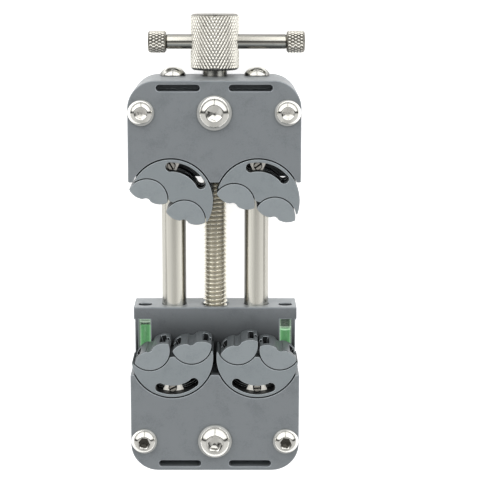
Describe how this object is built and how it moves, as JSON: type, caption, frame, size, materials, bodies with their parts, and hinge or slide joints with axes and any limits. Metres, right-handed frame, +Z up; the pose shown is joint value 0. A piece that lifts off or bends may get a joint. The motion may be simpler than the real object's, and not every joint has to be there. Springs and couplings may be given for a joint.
{
  "type": "fractal vise",
  "caption": "Small bench vise whose nested half-disc jaws turn to follow an irregular workpiece, closed by a knob and lead screw between two guide rods.",
  "frame": {"origin": "on the flat underside of the head, below the middle of the head and under the lead screw's axis", "axes": "+Y along the lead screw to the knob, +Z up out of the jaw plates, +X to the right seen from above with the knob away"},
  "size_m": [0.0702, 0.183, 0.0404],
  "materials": {
    "grey_anodised": "grey anodised, fine satin",
    "grey_anodised_jaws": "light grey anodised, fine satin",
    "nickel_steel": "bright nickel, turned",
    "clear_vial": "clear, glossy",
    "green_liquid": "tinted level liquid"
  },
  "bodies": {
    "head": {"head_base": "grey_anodised", "head_jaw_plate": "grey_anodised", "head_centre_screw": "nickel_steel", "head_outer_screws": "nickel_steel", "guide_rod_left": "nickel_steel", "guide_rod_right": "nickel_steel", "rod_end_screws": "nickel_steel", "head_rocker_tongues": "nickel_steel", "head_tongue_pins": "nickel_steel"},
    "lead_screw": {"lead_screw": "nickel_steel", "thumb_knob": "nickel_steel"},
    "tommy_bar": {"tommy_bar": "nickel_steel", "bar_cap_left": "nickel_steel", "bar_cap_right": "nickel_steel"},
    "slide": {"slide_base": "grey_anodised", "slide_jaw_plate": "grey_anodised", "slide_centre_screw": "nickel_steel", "slide_outer_screws": "nickel_steel", "slide_rocker_tongues": "nickel_steel", "slide_tongue_pins": "nickel_steel", "vial_tube_left": "clear_vial", "vial_tube_right": "clear_vial", "vial_liquid_left": "green_liquid", "vial_liquid_right": "green_liquid", "vial_plugs": "clear_vial"},
    "head_rocker_left": {"head_rocker_left": "grey_anodised_jaws", "head_jaw_keys_left": "nickel_steel"},
    "head_rocker_right": {"head_rocker_right": "grey_anodised_jaws", "head_jaw_keys_right": "nickel_steel"},
    "head_jaw_1": {"head_jaw_1": "grey_anodised_jaws"},
    "head_jaw_2": {"head_jaw_2": "grey_anodised_jaws"},
    "head_jaw_3": {"head_jaw_3": "grey_anodised_jaws"},
    "head_jaw_4": {"head_jaw_4": "grey_anodised_jaws"},
    "slide_rocker_left": {"slide_rocker_left": "grey_anodised_jaws", "slide_jaw_keys_left": "nickel_steel"},
    "slide_rocker_right": {"slide_rocker_right": "grey_anodised_jaws", "slide_jaw_keys_right": "nickel_steel"},
    "slide_jaw_1": {"slide_jaw_1": "grey_anodised_jaws"},
    "slide_jaw_2": {"slide_jaw_2": "grey_anodised_jaws"},
    "slide_jaw_3": {"slide_jaw_3": "grey_anodised_jaws"},
    "slide_jaw_4": {"slide_jaw_4": "grey_anodised_jaws"}
  },
  "joints": [
    {"name": "screw_turn", "type": "hinge", "parent": "head", "child": "lead_screw", "pos_m": [0, 0, 0.01], "axis": [0, -1, 0], "range_deg": [-1173, 9543]},
    {"name": "bar_slide", "type": "slide", "parent": "lead_screw", "child": "tommy_bar", "axis": [1, 0, 0], "range_m": [-0.0188, 0.0096]},
    {"name": "slide_travel", "type": "slide", "parent": "head", "child": "slide", "axis": [0, 1, 0], "range_m": [-0.0057, 0.04638]},
    {"name": "head_rocker_left_turn", "type": "hinge", "parent": "head", "child": "head_rocker_left", "pos_m": [-0.0171, -0.0273, 0.027], "axis": [0, 0, 1], "range_deg": [-1.2, 60.8]},
    {"name": "head_rocker_right_turn", "type": "hinge", "parent": "head", "child": "head_rocker_right", "pos_m": [0.0171, -0.0273, 0.027], "axis": [0, 0, 1], "range_deg": [-12.4, 49.6]},
    {"name": "head_jaw_1_turn", "type": "hinge", "parent": "head_rocker_left", "child": "head_jaw_1", "pos_m": [-0.02659, -0.02676, 0.027], "axis": [0, 0, -1], "range_deg": [-34.5, 55.5]},
    {"name": "head_jaw_2_turn", "type": "hinge", "parent": "head_rocker_left", "child": "head_jaw_2", "pos_m": [-0.01184, -0.03521, 0.027], "axis": [0, 0, -1], "range_deg": [-31, 59]},
    {"name": "head_jaw_3_turn", "type": "hinge", "parent": "head_rocker_right", "child": "head_jaw_3", "pos_m": [0.00769, -0.02862, 0.027], "axis": [0, 0, -1], "range_deg": [-47.9, 42.1]},
    {"name": "head_jaw_4_turn", "type": "hinge", "parent": "head_rocker_right", "child": "head_jaw_4", "pos_m": [0.0238, -0.03404, 0.027], "axis": [0, 0, -1], "range_deg": [-44.6, 45.4]},
    {"name": "slide_rocker_left_turn", "type": "hinge", "parent": "slide", "child": "slide_rocker_left", "pos_m": [-0.0171, -0.0909, 0.027], "axis": [0, 0, 1], "range_deg": [-40, 22]},
    {"name": "slide_rocker_right_turn", "type": "hinge", "parent": "slide", "child": "slide_rocker_right", "pos_m": [0.0171, -0.0909, 0.027], "axis": [0, 0, 1], "range_deg": [-23.7, 38.3]},
    {"name": "slide_jaw_1_turn", "type": "hinge", "parent": "slide_rocker_left", "child": "slide_jaw_1", "pos_m": [-0.02616, -0.08803, 0.027], "axis": [0, 0, 1], "range_deg": [-66.5, 23.5]},
    {"name": "slide_jaw_2_turn", "type": "hinge", "parent": "slide_rocker_left", "child": "slide_jaw_2", "pos_m": [-0.00937, -0.08537, 0.027], "axis": [0, 0, 1], "range_deg": [-45.5, 44.5]},
    {"name": "slide_jaw_3_turn", "type": "hinge", "parent": "slide_rocker_right", "child": "slide_jaw_3", "pos_m": [0.00921, -0.0856, 0.027], "axis": [0, 0, 1], "range_deg": [-72.9, 17.1]},
    {"name": "slide_jaw_4_turn", "type": "hinge", "parent": "slide_rocker_right", "child": "slide_jaw_4", "pos_m": [0.02607, -0.08776, 0.027], "axis": [0, 0, 1], "range_deg": [-30.9, 59.1]}
  ],
  "couplings": [
    {"joint": "screw_turn", "follows": "slide_travel", "rad_per_m": 3590.4}
  ]
}
